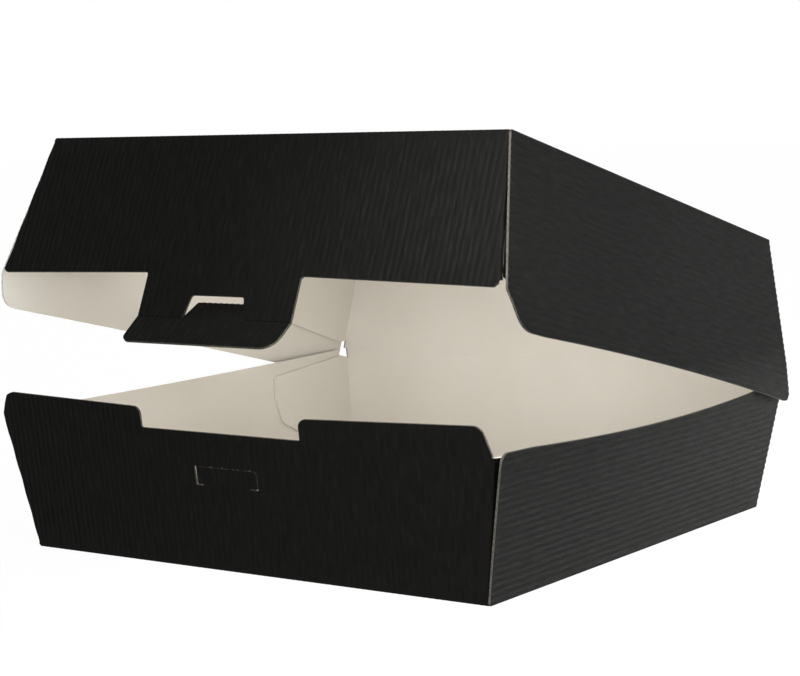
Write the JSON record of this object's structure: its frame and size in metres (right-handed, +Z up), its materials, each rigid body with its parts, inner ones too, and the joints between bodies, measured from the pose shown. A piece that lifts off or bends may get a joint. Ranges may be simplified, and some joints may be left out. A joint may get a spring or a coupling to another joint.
{
  "type": "takeaway food box",
  "caption": "Folded and glued clamshell food box of black fluted card, with a hinged lid that overlaps the tray and a front lock tab.",
  "frame": {"origin": "middle of the underside of the base, which stands on the table", "axes": "+Z up, front with the lock tab towards -Y, hinge crease at the back along X, +X to the right seen from the front"},
  "size_m": [0.1696, 0.176, 0.1148],
  "materials": {
    "card_base": "matte black fluted card outside, cream white inside",
    "card_lid": "matte black fluted card outside, cream white inside",
    "card_tab": "matte black fluted card outside, cream white inside"
  },
  "bodies": {
    "base": {"base_tray": "card_base"},
    "lid": {"lid": "card_lid"},
    "lock_tab": {"lock_tab": "card_tab"}
  },
  "joints": [
    {"name": "lid_hinge", "type": "hinge", "parent": "base", "child": "lid", "pos_m": [0, 0.08176, 0.041], "axis": [-1, 0, 0], "range_deg": [-13, 165]},
    {"name": "lock_tab_crease", "type": "hinge", "parent": "lid", "child": "lock_tab", "pos_m": [-0.003, -0.08415, 0.06777], "axis": [-1, 0, 0], "range_deg": [-30, 0]}
  ]
}
